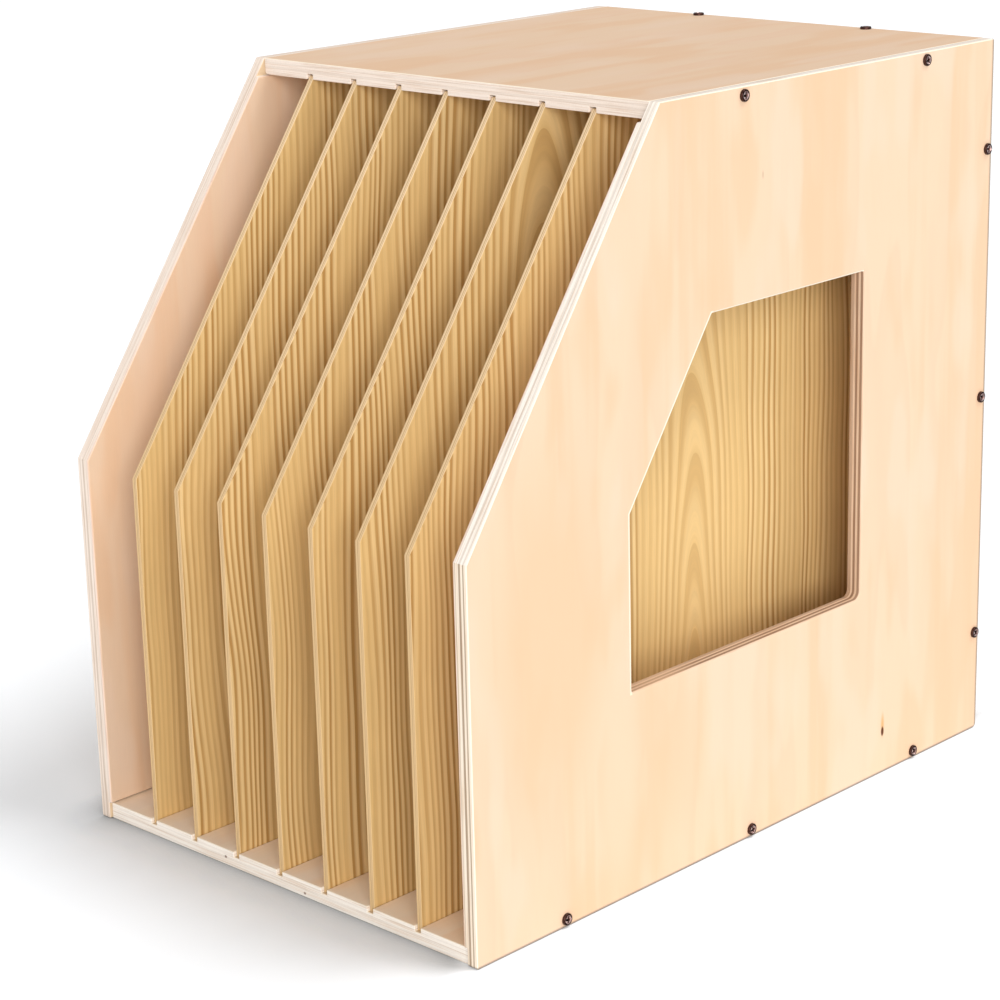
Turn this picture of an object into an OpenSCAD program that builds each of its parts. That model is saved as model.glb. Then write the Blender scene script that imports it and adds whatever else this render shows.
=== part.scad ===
// Paper storage rack: a plywood case with sloped, windowed sides and sliding dividers.
// Millimetres. X runs across the rack, Y from front to rear, Z up. The origin is on the
// floor, under the middle of the rack.

/* [Case] */
// Overall width across the side panels
rack_w = 241; // [200:1:300]
// Overall depth, from the sides' front edges to the rear face
rack_d = 350; // [320:1:400]
// Overall height, from the floor to the top face
rack_h = 335; // [310:1:400]
// Thickness of the five plywood panels
panel_t = 7.5; // [6:0.5:10]
// Depth of the rebates that take the ends of the top, bottom and back panels
rebate_depth = 1.8; // [1:0.1:3]
// Gap between a panel in its rebate and the rebate's shoulder
shoulder_gap = 0.4; // [0.2:0.1:1]
// How far the bottom panel's front edge stands back from the sides' front edges
front_setback = 1.5; // [0.5:0.5:4]
// Rounding of the top panel's lower end corners
end_r = 1.5; // [0.5:0.5:3]

/* [Side panels] */
// Height of the upright front edge, up to where the slope starts
front_h = 171; // [150:1:200]
// Distance from the front edge back to where the slope meets the top edge
slope_run = 116; // [90:1:140]
// Rounding of the panel's outer corners
corner_r = 1; // [0.5:0.5:4]
// Rounding of its lower rear corner
heel_r = 2.5; // [0.5:0.5:6]

/* [Windows] */
// Front edge of the window, from the panel's front edge
window_front = 96; // [80:1:110]
// Rear edge of the window, from the panel's rear edge
window_rear = 96.5; // [70:0.5:110]
// Lower edge of the window, from the floor
window_below = 91.5; // [70:0.5:110]
// Upper edge of the window, from the panel's top edge
window_above = 91.5; // [70:0.5:110]
// Height of the window's upright front edge
window_front_h = 77.5; // [50:0.5:100]
// Rounding of the window's corners
window_r = 1; // [0.5:0.5:10]
// Rounding of its lower rear corner
window_heel_r = 3.5; // [0.5:0.5:10]

/* [Dividers] */
// Number of slots, one more than there are dividers
slots = 8; // [5:1:10]
// Thickness of a divider
divider_t = 3; // [2:0.5:4]
// Depth of the grooves in the top and bottom panels
groove_depth = 2.4; // [2:0.1:3]
// Side clearance between a divider and each wall of its groove
groove_play = 0.25; // [0.1:0.05:0.5]
// Clearance between a divider's top edge and the roof of its groove
head_gap = 0.8; // [0.3:0.1:1.2]
// How far a divider's front edges stand back from those of the panels that hold it
divider_setback = 1.5; // [0:0.5:4]
// Clearance between a divider's rear edge and the back panel
rear_gap = 0.5; // [0.3:0.1:2]

/* [Screws] */
// Diameter of the pan head
head_d = 5.6; // [5:0.1:6]
// Height of the pan head
head_h = 1.9; // [1.5:0.1:2.5]
// Diameter of the shank
shank_d = 3; // [2.5:0.1:3.5]
// Length under the head
screw_len = 25; // [20:1:30]
// Length of the pointed tip
tip_len = 4; // [3:0.5:6]
// Clearance round a shank in its hole
hole_play = 0.1; // [0.05:0.05:0.2]
// Distance from the ends of a top or bottom row to its outer screws
row_inset = 53; // [40:1:70]
// Distance from the top and the floor to the outer screws of the rear column
column_inset = 50; // [35:1:70]
// Distance between the two screws that hold the back panel from above or below
rear_spread = 102; // [60:1:140]
// Width of a cross-recess slot in a screw head
recess_w = 0.8; // [0.6:0.1:1]
// Length of a cross-recess slot
recess_span = 3.4; // [2.5:0.1:4]
// Depth of the cross recess
recess_depth = 1.1; // [0.8:0.1:1.3]
// Clearance round a head sunk in the underside, and below it
sink_play = 0.5; // [0.3:0.1:0.8]

/* [Hidden] */
$fn = 64;
// How far a cut runs past the face that it opens
cut = 1;
screw_colour = "#37302c";

// Widths, faces and heights that follow from the sizes above
inner_w = rack_w - 2 * panel_t;
housed_w = inner_w + 2 * rebate_depth;
front_y = -rack_d / 2;
rear_y = rack_d / 2;
top_front_y = front_y + slope_run;
bottom_front_y = front_y + front_setback;
back_front_y = rear_y - panel_t;
pitch = inner_w / slots;
slope = (rack_h - front_h) / slope_run;
groove_w = divider_t + 2 * groove_play;
divider_low = panel_t - groove_depth;
divider_high = rack_h - panel_t + groove_depth - head_gap;
divider_front_y = bottom_front_y + divider_setback;
divider_turn_y = top_front_y + divider_setback;
divider_rear_y = back_front_y - rear_gap;
divider_corner_z = divider_high - slope * (divider_turn_y - divider_front_y);
sink_depth = head_h + sink_play;

// Rows of screws: distances along the row
top_row = [top_front_y + row_inset, rear_y - row_inset];
bottom_row = [front_y + row_inset, 0, rear_y - row_inset];
back_column = [column_inset, rack_h / 2, rack_h - column_inset];
rear_row = [-rear_spread / 2, rear_spread / 2];

// Screw seats, each a place on a face
side_x = rack_w / 2;
top_screw_z = rack_h - panel_t / 2;
bottom_screw_z = panel_t / 2;
back_screw_y = rear_y - panel_t / 2;

divider_names = [for (i = [1 : slots - 1]) str("divider_", i)];

// Outlines with rounded corners

function unit(v) = v / norm(v);
function corner_in(p, i) = unit(p[(i + len(p) - 1) % len(p)] - p[i]);
function corner_out(p, i) = unit(p[(i + 1) % len(p)] - p[i]);
function half_angle(p, i) = acos(corner_in(p, i) * corner_out(p, i)) / 2;
function arc_centre(p, i, r) =
    p[i] + unit(corner_in(p, i) + corner_out(p, i)) * r / sin(half_angle(p, i));
function tangents(p, i, r) =
    r == 0 ? [p[i]]
           : [p[i] + corner_in(p, i) * r / tan(half_angle(p, i)),
              p[i] + corner_out(p, i) * r / tan(half_angle(p, i))];

// A convex outline with a radius for each corner, 0 for a sharp one
module rounded_outline(p, radii) {
    corners = [0 : len(p) - 1];
    polygon([for (i = corners) each tangents(p, i, radii[i])]);
    for (i = corners)
        if (radii[i] > 0)
            translate(arc_centre(p, i, radii[i])) circle(radii[i]);
}

// Stand a YZ outline up as a board, from x0 to x0 + t
module board(x0, t) {
    translate([x0, 0, 0])
        rotate([90, 0, 90])
            linear_extrude(t) children();
}

// Side panels

function side_outline() =
    [[front_y, 0], [rear_y, 0], [rear_y, rack_h], [top_front_y, rack_h], [front_y, front_h]];

function window_outline() =
    let (y0 = front_y + window_front,
         y1 = rear_y - window_rear,
         z1 = rack_h - window_above,
         z_turn = window_below + window_front_h,
         y_turn = y0 + (z1 - z_turn) / slope)
    [[y0, window_below], [y1, window_below], [y1, z1], [y_turn, z1], [y0, z_turn]];

// The right side panel; the left one is its mirror image
module side_panel() {
    shoulder = panel_t + shoulder_gap;
    inner_x = side_x - panel_t;
    difference() {
        board(inner_x, panel_t)
            difference() {
                rounded_outline(side_outline(), [corner_r, heel_r, corner_r, corner_r, corner_r]);
                rounded_outline(window_outline(), [window_r, window_heel_r, window_r, window_r, window_r]);
            }
        // Rebates for the top, bottom and back panels
        translate([inner_x - cut, front_y - cut, rack_h - shoulder])
            cube([rebate_depth + cut, rack_d + 2 * cut, shoulder + cut]);
        translate([inner_x - cut, front_y - cut, -cut])
            cube([rebate_depth + cut, rack_d + 2 * cut, shoulder + cut]);
        translate([inner_x - cut, rear_y - shoulder, -cut])
            cube([rebate_depth + cut, shoulder + cut, rack_h + 2 * cut]);
        right_top_places() screw_hole();
        right_back_places() screw_hole();
        right_bottom_places() screw_hole();
    }
}

module left_side_panel() {
    color("wheat") mirror([1, 0, 0]) side_panel();
}

module right_side_panel() {
    color("wheat") side_panel();
}

// Top, bottom and back panels

// A board as wide as the rebates allow, between two corners given as [y, z]
module housed_board(low, high) {
    translate([-housed_w / 2, low[0], low[1]])
        cube([housed_w, high[0] - low[0], high[1] - low[1]]);
}

// One groove for each divider, open at the front, from y0 back to the back panel
module grooves(y0, z0) {
    for (i = [1 : slots - 1])
        translate([divider_x(i) - groove_w / 2, y0 - cut, z0])
            cube([groove_w, back_front_y - y0 + cut, groove_depth + cut]);
}

// The top panel seen from the front
function top_outline() =
    [[-housed_w / 2, rack_h - panel_t], [housed_w / 2, rack_h - panel_t],
     [housed_w / 2, rack_h], [-housed_w / 2, rack_h]];

module top_panel() {
    color("tan")
        difference() {
            translate([0, rear_y, 0])
                rotate([90, 0, 0])
                    linear_extrude(rear_y - top_front_y)
                        rounded_outline(top_outline(), [end_r, end_r, 0, 0]);
            grooves(top_front_y, rack_h - panel_t - cut);
            both_sides() right_top_places() screw_hole();
            top_rear_places() screw_hole();
        }
}

module bottom_panel() {
    color("burlywood")
        difference() {
            housed_board([bottom_front_y, 0], [rear_y, panel_t]);
            grooves(bottom_front_y, panel_t - groove_depth);
            both_sides() right_bottom_places() screw_hole();
            bottom_rear_places() {
                screw_hole();
                head_sink();
            }
        }
}

module back_panel() {
    color("burlywood")
        difference() {
            housed_board([back_front_y, panel_t], [rear_y, rack_h - panel_t]);
            both_sides() right_back_places() screw_hole();
            top_rear_places() screw_hole();
            bottom_rear_places() screw_hole();
        }
}

// Dividers

function divider_x(i) = -inner_w / 2 + i * pitch;

function divider_outline() =
    [[divider_front_y, divider_low], [divider_rear_y, divider_low],
     [divider_rear_y, divider_high], [divider_turn_y, divider_high],
     [divider_front_y, divider_corner_z]];

module divider(i) {
    color("goldenrod")
        board(divider_x(i) - divider_t / 2, divider_t)
            polygon(divider_outline());
}

// Screws

// A pan-head screw whose head sits on the plane z = 0 and whose shank points down
module screw() {
    shoulder_r = head_h / 2;
    difference() {
        union() {
            rotate_extrude() {
                square([head_d / 2, head_h - shoulder_r]);
                square([head_d / 2 - shoulder_r, head_h]);
                translate([head_d / 2 - shoulder_r, head_h - shoulder_r]) circle(shoulder_r);
            }
            translate([0, 0, tip_len - screw_len]) cylinder(d = shank_d, h = screw_len - tip_len);
            translate([0, 0, -screw_len]) cylinder(d1 = 0, d2 = shank_d, h = tip_len);
        }
        for (turn = [0, 90])
            rotate(turn)
                translate([-recess_span / 2, -recess_w / 2, head_h - recess_depth])
                    cube([recess_span, recess_w, recess_depth + cut]);
    }
}

// The hole that takes a screw's shank
module screw_hole() {
    depth = screw_len + hole_play;
    translate([0, 0, -depth]) cylinder(d = shank_d + 2 * hole_play, h = depth + cut);
}

// The recess that sinks a screw's head
module head_sink() {
    cylinder(d = head_d + 2 * sink_play, h = sink_depth + cut);
}

// Places of the screws: each puts its children on a face, with +Z pointing out of it

module right_top_places() {
    for (y = top_row)
        translate([side_x, y, top_screw_z]) rotate([0, 90, 0]) children();
}

module right_back_places() {
    for (z = back_column)
        translate([side_x, back_screw_y, z]) rotate([0, 90, 0]) children();
}

module right_bottom_places() {
    for (y = bottom_row)
        translate([side_x, y, bottom_screw_z]) rotate([0, 90, 0]) children();
}

module top_rear_places() {
    for (x = rear_row)
        translate([x, back_screw_y, rack_h]) children();
}

// Under the rack the heads are sunk, so that it stands flat
module bottom_rear_places() {
    for (x = rear_row)
        translate([x, back_screw_y, sink_depth]) rotate([180, 0, 0]) children();
}

module both_sides() {
    children();
    mirror([1, 0, 0]) children();
}

module left_top_screws() {
    color(screw_colour) mirror([1, 0, 0]) right_top_places() screw();
}

module left_back_screws() {
    color(screw_colour) mirror([1, 0, 0]) right_back_places() screw();
}

module left_bottom_screws() {
    color(screw_colour) mirror([1, 0, 0]) right_bottom_places() screw();
}

module right_top_screws() {
    color(screw_colour) right_top_places() screw();
}

module right_back_screws() {
    color(screw_colour) right_back_places() screw();
}

module right_bottom_screws() {
    color(screw_colour) right_bottom_places() screw();
}

module top_rear_screws() {
    color(screw_colour) top_rear_places() screw();
}

module bottom_rear_screws() {
    color(screw_colour) bottom_rear_places() screw();
}

left_side_panel();
right_side_panel();
top_panel();
bottom_panel();
back_panel();
for (i = [1 : slots - 1])
    divider(i);
left_top_screws();
left_back_screws();
left_bottom_screws();
right_top_screws();
right_back_screws();
right_bottom_screws();
top_rear_screws();
bottom_rear_screws();
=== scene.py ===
# Paper storage rack: eased plywood panels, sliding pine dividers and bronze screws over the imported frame
import math

import bmesh
import bpy
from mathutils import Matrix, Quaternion, Vector


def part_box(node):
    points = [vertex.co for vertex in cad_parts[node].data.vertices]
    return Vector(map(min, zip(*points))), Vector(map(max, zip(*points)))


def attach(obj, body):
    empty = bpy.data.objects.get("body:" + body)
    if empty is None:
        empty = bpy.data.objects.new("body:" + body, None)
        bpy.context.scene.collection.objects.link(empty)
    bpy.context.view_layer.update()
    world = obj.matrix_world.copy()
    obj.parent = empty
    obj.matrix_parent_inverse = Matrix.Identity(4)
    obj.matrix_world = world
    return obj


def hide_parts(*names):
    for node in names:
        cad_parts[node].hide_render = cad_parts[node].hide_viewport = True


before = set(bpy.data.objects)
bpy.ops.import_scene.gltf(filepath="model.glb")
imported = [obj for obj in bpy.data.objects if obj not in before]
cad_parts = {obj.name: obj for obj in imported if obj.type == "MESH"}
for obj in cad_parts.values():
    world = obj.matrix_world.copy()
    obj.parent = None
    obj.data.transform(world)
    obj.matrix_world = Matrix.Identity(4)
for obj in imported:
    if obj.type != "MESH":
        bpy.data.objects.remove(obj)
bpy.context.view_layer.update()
mm = 0.001
sameSpot = 0.01 * mm  # points closer than this count as one
print("frame loaded,", len(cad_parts), "nodes")


# Camera, floor and light

photoView = {
    "azimuth": 44.15,
    "elevation": 16.73,
    "roll": -1.43,
    "aim": (-0.0092, -0.0217, 0.1371),
    "distance": 1.2517,
    "lens": 98.47,
    "sensor": 36,
}


def addCamera():
    back = aimedAt(photoView["azimuth"], photoView["elevation"])
    bpy.ops.object.camera_add(location=Vector(photoView["aim"]) + back * photoView["distance"])
    camera = bpy.context.object
    camera.name = "photoCamera"
    level = (-back).to_track_quat("-Z", "Y")
    roll = Quaternion((0, 0, 1), math.radians(photoView["roll"]))
    camera.rotation_euler = (level @ roll).to_euler()
    camera.data.lens = photoView["lens"]
    camera.data.sensor_width = photoView["sensor"]
    bpy.context.scene.camera = camera


studio = {
    "skyStrength": 0.5,
    "floorTone": (0.94, 0.968, 1.0, 1.0),  # cool enough to take out the warmth that the wood throws on it
    "floorGlow": 0.08,
    "floorSize": 40,
    "floorRoughness": 0.9,
    "lampDistance": 2,
    "contactReach": 25 * mm,  # how far the painted shadow under the rack fades out over the floor
    "contactDepth": 1.6,
    "contactSamples": 6,
}
lights = {  # azimuth runs from the front towards the right, in degrees
    "keyLight": {"azimuth": 48, "elevation": 13, "strength": 2.34, "softness": 40},
    "overheadLight": {"azimuth": 128, "elevation": 62, "strength": 1.47, "softness": 24},
}


def aimedAt(azimuth, elevation):  # the way from the rack towards a light or a camera
    turn = math.radians(azimuth)
    rise = math.radians(elevation)
    return Vector((math.sin(turn) * math.cos(rise), -math.cos(turn) * math.cos(rise), math.sin(rise)))


def addLights():
    world = bpy.data.worlds.new("studioSky")
    world.use_nodes = True
    sky = world.node_tree.nodes["Background"]
    sky.inputs["Color"].default_value = (1, 1, 1, 1)
    lightPath = world.node_tree.nodes.new("ShaderNodeLightPath")
    seen = lightPath.outputs["Is Camera Ray"]  # white to look at, softer as light
    strength = calc(world.node_tree, "MAXIMUM", seen, studio["skyStrength"])
    feed(world.node_tree, sky.inputs["Strength"], strength)
    bpy.context.scene.world = world
    bpy.context.scene.view_settings.view_transform = "Standard"
    for name, light in lights.items():
        towards = aimedAt(light["azimuth"], light["elevation"])
        bpy.ops.object.light_add(type="SUN", location=towards * studio["lampDistance"])
        lamp = bpy.context.object
        lamp.name = name
        lamp.rotation_euler = towards.to_track_quat("Z", "Y").to_euler()
        lamp.data.energy = light["strength"]
        lamp.data.angle = math.radians(light["softness"])


def addFloor(material):
    bpy.ops.mesh.primitive_plane_add(size=studio["floorSize"])
    floor = bpy.context.object
    floor.name = "floor"
    floor.data.materials.append(material)


# Modelling steps that the pieces share

sanding = {  # angles in degrees
    "mergeWithin": 0.001 * mm,
    "flatWithin": 0.5,
    "arrisFrom": 40,
    "softUpTo": 42,
}


def pickOnly(*pieces):
    bpy.ops.object.select_all(action="DESELECT")
    for piece in pieces:
        piece.select_set(True)
    bpy.context.view_layer.objects.active = pieces[-1]


def addBlock(name, corner, opposite):
    bpy.ops.object.select_all(action="DESELECT")
    corner = Vector(corner)
    opposite = Vector(opposite)
    bpy.ops.mesh.primitive_cube_add(size=1, location=(corner + opposite) / 2)
    block = bpy.context.object
    block.name = name
    block.scale = [abs(side) for side in opposite - corner]
    bpy.ops.object.transform_apply(location=True, rotation=True, scale=True)
    return block


def sawOff(piece, point, normal):  # takes off what lies on the normal's side of the plane
    pickOnly(piece)
    bpy.ops.object.mode_set(mode="EDIT")
    bpy.ops.mesh.select_all(action="SELECT")
    bpy.ops.mesh.bisect(plane_co=point, plane_no=normal, use_fill=True, clear_outer=True)
    bpy.ops.object.mode_set(mode="OBJECT")


def selectEdges(piece, wanted):  # opens the piece in edit mode with these edges selected
    pickOnly(piece)
    bpy.ops.object.mode_set(mode="EDIT")
    bpy.ops.mesh.select_mode(type="EDGE")
    bpy.ops.mesh.select_all(action="DESELECT")
    shape = bmesh.from_edit_mesh(piece.data)
    for edge in shape.edges:
        if wanted(edge):
            edge.select_set(True)
    bmesh.update_edit_mesh(piece.data)


def runsAcross(edge):  # true for an edge that runs along X, through a board's thickness
    run = edge.verts[0].co - edge.verts[1].co
    return abs(run.x) > abs(run.y) + abs(run.z)


def runsBack(edge):  # true for an edge that runs along Y
    run = edge.verts[0].co - edge.verts[1].co
    return abs(run.y) > abs(run.x) + abs(run.z)


def roundCorner(piece, corner, radius, segments):  # rounds the edge that runs through a board at this (y, z)
    selectEdges(piece, lambda edge: runsAcross(edge) and (edge.verts[0].co.yz - corner).length < sameSpot)
    shape = bmesh.from_edit_mesh(piece.data)
    turn = next(edge for edge in shape.edges if edge.select).calc_face_angle()
    bpy.ops.mesh.bevel(offset=radius * math.tan(turn / 2), segments=segments, affect="EDGES")
    bpy.ops.object.mode_set(mode="OBJECT")


def roundOutline(piece, radius, heelRadius, segments):  # all corners of a board, the lower rear one apart
    shape = bmesh.new()
    shape.from_mesh(piece.data)
    corners = [edge.verts[0].co.yz for edge in shape.edges if runsAcross(edge)]
    shape.free()
    heel = max(corners, key=lambda corner: corner[0] - corner[1])
    for corner in corners:
        roundCorner(piece, corner, heelRadius if corner == heel else radius, segments)


def cutAway(piece, *cutters):
    for cutter in cutters:
        pickOnly(piece)
        cut = piece.modifiers.new("cut", "BOOLEAN")
        cut.operation = "DIFFERENCE"
        cut.solver = "EXACT"
        cut.object = cutter
        bpy.ops.object.modifier_apply(modifier=cut.name)
        bpy.data.objects.remove(cutter)


def easeEdges(piece, width, segments=3):  # sands the arrises
    pickOnly(piece)
    bpy.ops.object.mode_set(mode="EDIT")
    bpy.ops.mesh.select_all(action="SELECT")
    bpy.ops.mesh.remove_doubles(threshold=sanding["mergeWithin"])
    bpy.ops.mesh.dissolve_limited(angle_limit=math.radians(sanding["flatWithin"]))
    bpy.ops.object.mode_set(mode="OBJECT")
    ease = piece.modifiers.new("ease", "BEVEL")
    ease.width = width
    ease.segments = segments
    ease.limit_method = "ANGLE"
    ease.angle_limit = math.radians(sanding["arrisFrom"])
    ease.use_clamp_overlap = False
    bpy.ops.object.modifier_apply(modifier=ease.name)


def shadeFlatFaces(piece):  # soft over the eased edges, flat on the wide faces
    pickOnly(piece)
    bpy.ops.object.shade_smooth_by_angle(angle=math.radians(sanding["softUpTo"]))
    weighted = piece.modifiers.new("weighted", "WEIGHTED_NORMAL")
    weighted.keep_sharp = True
    bpy.ops.object.modifier_apply(modifier=weighted.name)


def copyOf(piece, name):
    pickOnly(piece)
    bpy.ops.object.duplicate(linked=False)
    copy = bpy.context.object
    copy.name = name
    return copy


def dress(piece, node, body, material):
    piece.data.materials.clear()
    piece.data.materials.append(material)
    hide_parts(node)
    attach(piece, body)


# Node helpers

def paint(red, green, blue):  # an sRGB colour in the linear values that shaders take
    linear = []
    for part in (red, green, blue):
        share = part / 255
        linear.append(share / 12.92 if share <= 0.04045 else ((share + 0.055) / 1.055) ** 2.4)
    return (*linear, 1.0)


def feed(tree, socket, value):  # a value is a number, a colour or another node's socket
    if isinstance(value, bpy.types.NodeSocket):
        tree.links.new(value, socket)
    else:
        socket.default_value = value


def calc(tree, operation, *values):
    node = tree.nodes.new("ShaderNodeMath")
    node.operation = operation
    for socket, value in zip(node.inputs, values):
        feed(tree, socket, value)
    return node.outputs["Value"]


def remap(tree, value, fromLow, fromHigh, toLow=0.0, toHigh=1.0):
    node = tree.nodes.new("ShaderNodeMapRange")
    node.interpolation_type = "SMOOTHSTEP"
    for name, amount in zip(("Value", "From Min", "From Max", "To Min", "To Max"),
                            (value, fromLow, fromHigh, toLow, toHigh)):
        feed(tree, node.inputs[name], amount)
    return node.outputs["Result"]


def stretch(tree, vector, x, y, z):
    scale = tree.nodes.new("ShaderNodeCombineXYZ")
    for socket, value in zip(scale.inputs, (x, y, z)):
        feed(tree, socket, value)
    node = tree.nodes.new("ShaderNodeVectorMath")
    node.operation = "MULTIPLY"
    feed(tree, node.inputs[0], vector)
    feed(tree, node.inputs[1], scale.outputs["Vector"])
    return node.outputs["Vector"]


def noise(tree, vector, detail=2.0, roughness=0.5, scale=1.0):
    node = tree.nodes.new("ShaderNodeTexNoise")
    node.inputs["Scale"].default_value = scale
    node.inputs["Detail"].default_value = detail
    node.inputs["Roughness"].default_value = roughness
    feed(tree, node.inputs["Vector"], vector)
    return node.outputs[0]


noiseSpan = (0.3, 0.7)  # nearly all of a noise's values lie in here


def drawOut(tree, value, low, high):  # spreads a noise from low to high
    return remap(tree, value, *noiseSpan, low, high)


def ramp(tree, value, stops):
    node = tree.nodes.new("ShaderNodeValToRGB")
    elements = node.color_ramp.elements
    while len(elements) < len(stops):
        elements.new(1.0)
    for element, (position, colour) in zip(elements, stops):
        element.position = position
        element.color = colour
    feed(tree, node.inputs["Fac"], value)
    return node.outputs["Color"]


def blendColours(tree, factor, first, second, way="MIX"):
    node = tree.nodes.new("ShaderNodeMix")
    node.data_type = "RGBA"
    node.blend_type = way
    feed(tree, node.inputs[0], factor)
    feed(tree, node.inputs[6], first)
    feed(tree, node.inputs[7], second)
    return node.outputs[2]


def grey(shade):
    return (shade, shade, shade, 1.0)


def newGroup(name, takes, gives):
    group = bpy.data.node_groups.new(name, "ShaderNodeTree")
    for socket in takes:
        kind = "NodeSocketVector" if socket in ("Vector", "Centre") else "NodeSocketFloat"
        group.interface.new_socket(name=socket, in_out="INPUT", socket_type=kind)
    for socket in gives:
        group.interface.new_socket(name=socket, in_out="OUTPUT", socket_type="NodeSocketFloat")
    return group, group.nodes.new("NodeGroupInput").outputs, group.nodes.new("NodeGroupOutput").inputs


def useGroup(tree, group, **values):
    node = tree.nodes.new("ShaderNodeGroup")
    node.node_tree = group
    for name, value in values.items():
        feed(tree, node.inputs[name], value)
    return node.outputs


def newMaterial(name):
    material = bpy.data.materials.new(name)
    material.use_nodes = True
    return material, material.node_tree, material.node_tree.nodes["Principled BSDF"]


# Wood effects, one node group each

fineGrain = {
    "fibreWidth": 0.5 * mm,
    "fibreLength": 18 * mm,
    "streakAcross": 2.3,  # streaks for each slow bend of the rings, across the grain and along it
    "streakAlong": 0.6,
}


# Growth rings, soft streaks and fibres of a board whose grain runs along Z
def makeGrainGroup():
    group, given, out = newGroup("grain", ("Vector", "Spacing", "Wander", "Width", "Length"),
                                 ("Ring", "Streak", "Fibre"))
    across = calc(group, "DIVIDE", 1.0, given["Width"])
    along = calc(group, "DIVIDE", 1.0, given["Length"])
    slow = noise(group, stretch(group, given["Vector"], across, across, along), detail=2.0)
    parts = group.nodes.new("ShaderNodeSeparateXYZ")
    feed(group, parts.inputs["Vector"], given["Vector"])
    sideways = calc(group, "ADD", parts.outputs["X"], parts.outputs["Y"])
    steady = calc(group, "DIVIDE", sideways, given["Spacing"])
    bent = calc(group, "MULTIPLY_ADD", slow, given["Wander"], steady)
    feed(group, out["Ring"], calc(group, "FRACT", bent))

    finer = calc(group, "MULTIPLY", across, fineGrain["streakAcross"])
    longer = calc(group, "MULTIPLY", along, fineGrain["streakAlong"])
    streaks = stretch(group, given["Vector"], finer, finer, longer)
    feed(group, out["Streak"], noise(group, streaks, detail=3.0))
    thin = 1 / fineGrain["fibreWidth"]
    fibres = stretch(group, given["Vector"], thin, thin, 1 / fineGrain["fibreLength"])
    feed(group, out["Fibre"], noise(group, fibres, detail=3.0, roughness=0.6))
    return group


# Dark and light layers across a board's thickness, given the depth from 0 inside to 1 outside
plies = {  # each layer: from, to, darkness
    "Sawn": ((0.14, 0.2, 0.5), (0.42, 0.55, 1.0), (0.72, 0.79, 0.9)),
    "Scorched": ((0.02, 0.27, 0.5), (0.43, 0.57, 0.85), (0.75, 0.9, 0.8)),
    "softness": 0.025,
    "paleLayer": 0.04,  # the darkness between the layers listed
}


def makePlyGroup():
    group, given, out = newGroup("plyLayers", ("Depth",), ("Sawn", "Scorched"))
    for way in ("Sawn", "Scorched"):
        pale = grey(plies["paleLayer"])
        stops = []
        for start, end, darkness in plies[way]:
            stops.append((max(start - plies["softness"], 0.0), pale))
            stops.append((start, grey(darkness)))
            stops.append((end, grey(darkness)))
            stops.append((min(end + plies["softness"], 1.0), pale))
        feed(group, out[way], ramp(group, given["Depth"], stops))
    return group


# A knot, a short streak or a broad patch of another tone, longer along Z than across; Core is its even share
def makeMarkGroup():
    group, given, out = newGroup("woodMark", ("Vector", "Centre", "Radius", "Length", "Core"), ("Mask",))
    offset = group.nodes.new("ShaderNodeVectorMath")
    offset.operation = "SUBTRACT"
    feed(group, offset.inputs[0], given["Vector"])
    feed(group, offset.inputs[1], given["Centre"])
    across = calc(group, "DIVIDE", 1.0, given["Radius"])
    along = calc(group, "DIVIDE", 1.0, given["Length"])
    reach = group.nodes.new("ShaderNodeVectorMath")
    reach.operation = "LENGTH"
    feed(group, reach.inputs[0], stretch(group, offset.outputs["Vector"], across, across, along))
    feed(group, out["Mask"], remap(group, reach.outputs["Value"], 1.0, given["Core"]))
    return group


# Arrises, pale as sanded ones are, then lit or shaded by the way they face: a painted highlight where they
# face up and forwards (the other way round in a cut-out), a painted shade where they face down and back
# outside cut-outs. Flatness is 1 on a face and 0 on an edge, Rise is above 0 upwards and forwards, Within is
# 1 in a cut-out
def makeArrisGroup():
    group, given, out = newGroup("arrisWear", ("Flatness", "Rise", "Within"), ("Pale", "Grubby"))
    turning = calc(group, "MULTIPLY", remap(group, given["Flatness"], 1.0, 0.9),
                   remap(group, given["Flatness"], 0.1, 0.4))
    outward = calc(group, "MULTIPLY", given["Rise"], calc(group, "MULTIPLY_ADD", given["Within"], -2.0, 1.0))
    feed(group, out["Pale"], calc(group, "MULTIPLY", turning, remap(group, outward, 0.05, 0.3)))
    behind = calc(group, "MULTIPLY", turning, remap(group, outward, -0.05, -0.3))
    feed(group, out["Grubby"], calc(group, "MULTIPLY", behind, calc(group, "SUBTRACT", 1.0, given["Within"])))
    return group


grainGroup = makeGrainGroup()
plyGroup = makePlyGroup()
markGroup = makeMarkGroup()
arrisGroup = makeArrisGroup()

woodColours = {
    "veneerPale": paint(224, 194, 165),
    "veneerPeach": paint(222, 184, 149),
    "veneerRose": paint(223, 186, 156),
    "veneerMilk": paint(225, 197, 172),
    "edgePale": paint(247, 235, 218),
    "edgeRose": paint(234, 219, 206),
    "edgeCream": paint(241, 226, 206),
    "edgeCool": paint(246, 237, 226),
    "edgeBlush": paint(232, 203, 186),
    "edgeDark": paint(166, 144, 121),
    "sawLine": paint(236, 224, 213),
    "routed": paint(212, 186, 152),
    "scorchPale": paint(223, 194, 168),
    "scorchDark": paint(136, 103, 79),
    # painted highlight and painted shade for the arrises, by the way they face
    "arrisPale": paint(240, 228, 208),
    "arrisGrubby": paint(176, 160, 140),
    # painted shade along the right panel's foot and rear edge
    "scuff": paint(118, 110, 102),
    "knot": paint(90, 42, 2),
    "knotHalo": paint(208, 160, 102),
    "pinePale": paint(230, 197, 141),
    "pineMid": paint(219, 182, 121),
    "pineLine": paint(182, 138, 78),
    "pineEdge": paint(231, 203, 164),
    "pineFront": paint(217, 183, 133),
    "pineEdgeLine": paint(188, 154, 112),
}


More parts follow.
